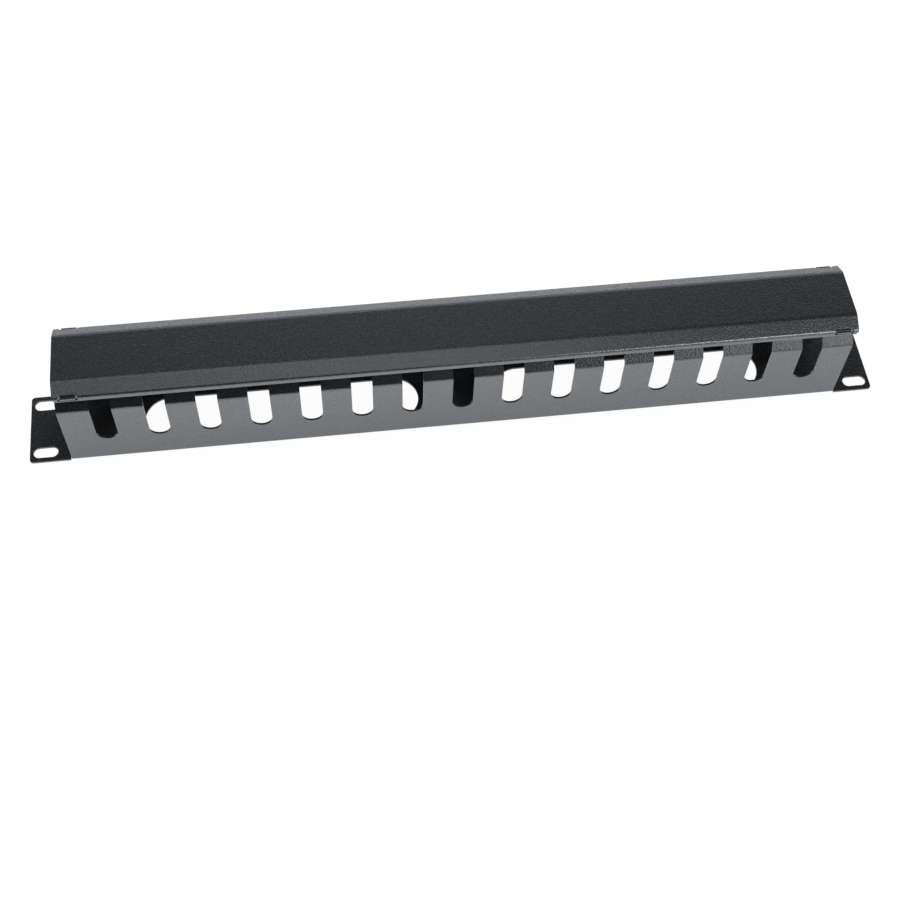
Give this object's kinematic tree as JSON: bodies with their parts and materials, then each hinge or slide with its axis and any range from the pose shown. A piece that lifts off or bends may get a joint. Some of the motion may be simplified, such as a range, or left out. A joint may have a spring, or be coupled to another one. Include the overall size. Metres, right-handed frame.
{
  "type": "horizontal cable manager",
  "caption": "Rack panel folded into a shallow cable duct with slotted finger walls, rear pass-throughs and a hinged cover.",
  "frame": {"origin": "centre of the mounting plate's rear face, the face that meets the rack's rails", "axes": "+X along the panel, +Z out of the rack towards the cover, +Y towards the side that the cover hinges on"},
  "size_m": [0.4826, 0.0468, 0.066],
  "materials": {
    "powder_coat": "fine-textured satin black powder coat"
  },
  "bodies": {
    "duct": {"finger_duct": "powder_coat"},
    "cover": {"cover": "powder_coat"}
  },
  "joints": [
    {"name": "cover_hinge", "type": "hinge", "parent": "duct", "child": "cover", "pos_m": [0, 0.0226, 0.05885], "axis": [-1, 0, 0], "range_deg": [0, 110]}
  ]
}
